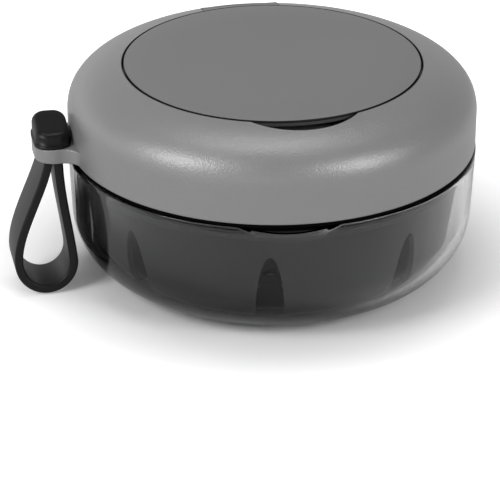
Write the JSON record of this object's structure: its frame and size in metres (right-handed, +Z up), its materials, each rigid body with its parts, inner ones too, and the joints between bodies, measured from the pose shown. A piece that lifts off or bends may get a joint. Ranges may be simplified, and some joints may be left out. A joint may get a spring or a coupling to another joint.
{
  "type": "denture case",
  "caption": "Round denture bath case: clear bowl, lift-out strainer basket, sealed domed lid with a flip-up mirror cover, and a rubber carrying strap on a side lug.",
  "frame": {"origin": "centre of the bowl's flat underside, on the ground", "axes": "+Z up; -Y towards the front, where the lid's finger scoop is; +Y towards the cover's hinge; -X towards the strap"},
  "size_m": [0.1273, 0.1103, 0.059],
  "materials": {
    "clear_plastic": "clear, polished",
    "basket_plastic": "satin, charcoal",
    "seal_silicone": "matte, black",
    "lid_plastic": "satin, mid grey",
    "cover_plastic": "fine matte, mid grey",
    "mirror_glass": "silvered",
    "pad_foam": "adhesive foam, black",
    "pin_steel": "drawn wire",
    "strap_rubber": "matte, black"
  },
  "bodies": {
    "bowl": {"bowl": "clear_plastic"},
    "basket": {"basket": "basket_plastic"},
    "seal": {"seal_ring": "seal_silicone"},
    "lid": {"lid_shell": "lid_plastic", "lid_liner": "lid_plastic", "hinge_pin": "pin_steel", "strap_head": "strap_rubber"},
    "cover": {"mirror_cover": "cover_plastic", "mirror": "mirror_glass", "mirror_pad": "pad_foam"},
    "strap": {"strap_loop": "strap_rubber"}
  },
  "joints": [
    {"name": "basket_lift", "type": "slide", "parent": "bowl", "child": "basket", "axis": [0, 0, 1], "range_m": [0, 0.045]},
    {"name": "lid_lift", "type": "slide", "parent": "basket", "child": "seal", "axis": [0, 0, 1], "range_m": [0, 0.07]},
    {"name": "lid_turn", "type": "hinge", "parent": "seal", "child": "lid", "pos_m": [0, 0, 0.0363], "axis": [0, 0, 1], "continuous": true},
    {"name": "cover_hinge", "type": "hinge", "parent": "lid", "child": "cover", "pos_m": [0, 0.042, 0.05622], "axis": [-1, 0, 0], "range_deg": [0, 100]},
    {"name": "strap_swing", "type": "hinge", "parent": "lid", "child": "strap", "pos_m": [-0.06045, 0, 0.03385], "axis": [0, 1, 0], "range_deg": [0, 80]}
  ]
}
